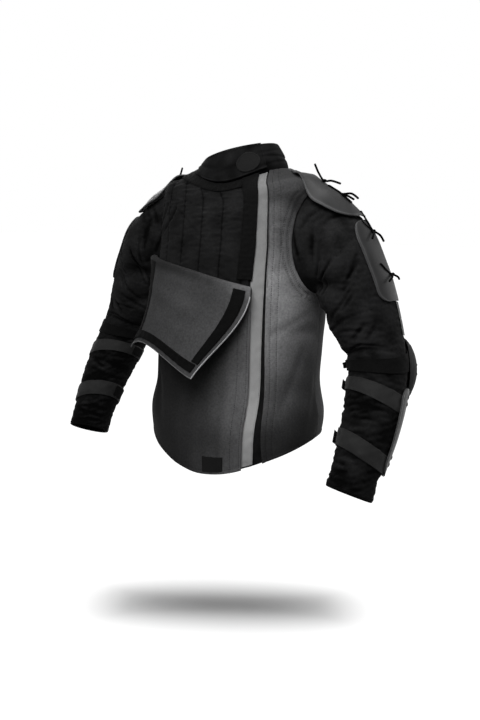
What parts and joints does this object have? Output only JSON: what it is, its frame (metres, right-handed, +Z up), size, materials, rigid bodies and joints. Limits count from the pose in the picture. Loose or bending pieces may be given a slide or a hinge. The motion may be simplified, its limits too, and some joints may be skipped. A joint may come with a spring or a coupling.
{
  "type": "historical fencing jacket",
  "caption": "Padded fencing jacket filled out as worn, with a high collar, a front flap folded down, and laced shoulder, arm and elbow guards over black sleeves.",
  "frame": {"origin": "midway between the two points where the collar meets the shoulder seams", "axes": "+Z up, +X towards the wearer's left, -Y towards the wearer's front"},
  "size_m": [0.7738, 0.3608, 0.6601],
  "materials": {
    "shell_cloth": "matt grey woven shell",
    "black_cloth": "matt black quilted cotton",
    "black_tape": "black loop tape",
    "light_tape": "light grey hook tape",
    "elastic_strap": "woven elastic",
    "hard_plate": "satin hard plastic",
    "rivet": "black rivet heads",
    "woven_patch": "plain woven patch",
    "waxed_lace": "waxed black lace"
  },
  "bodies": {
    "root": {"back": "shell_cloth", "front_left": "shell_cloth", "front_right": "shell_cloth", "chest_right": "black_cloth", "underlap": "black_cloth", "collar": "black_cloth", "collar_flap": "black_cloth", "closure_strip": "light_tape", "chest_tape_side": "black_tape", "chest_tape_top": "black_tape", "flap_tape_end": "black_tape", "flap_tape_side": "black_tape", "collar_patch": "woven_patch", "hem_patch": "woven_patch", "sleeve_upper_left": "black_cloth", "sleeve_lower_left": "black_cloth", "sleeve_strip_left": "light_tape", "elbow_strap_left": "elastic_strap", "forearm_strap_top_left": "elastic_strap", "forearm_strap_end_left": "elastic_strap", "shoulder_plate_left": "hard_plate", "upper_arm_plate_left": "hard_plate", "elbow_cup_left": "hard_plate", "forearm_plate_left": "hard_plate", "rivet_left_1": "rivet", "rivet_left_2": "rivet", "rivet_left_3": "rivet", "rivet_left_4": "rivet", "lace_neck_left": "waxed_lace", "lace_shoulder_left": "waxed_lace", "lace_arm_top_left": "waxed_lace", "lace_arm_end_left": "waxed_lace", "sleeve_upper_right": "black_cloth", "sleeve_lower_right": "black_cloth", "sleeve_strip_right": "light_tape", "elbow_strap_right": "elastic_strap", "forearm_strap_top_right": "elastic_strap", "forearm_strap_end_right": "elastic_strap", "shoulder_plate_right": "hard_plate", "upper_arm_plate_right": "hard_plate", "elbow_cup_right": "hard_plate", "forearm_plate_right": "hard_plate", "rivet_right_1": "rivet", "rivet_right_2": "rivet", "rivet_right_3": "rivet", "rivet_right_4": "rivet", "lace_neck_right": "waxed_lace", "lace_shoulder_right": "waxed_lace", "lace_arm_top_right": "waxed_lace", "lace_arm_end_right": "waxed_lace"}
  },
  "joints": []
}
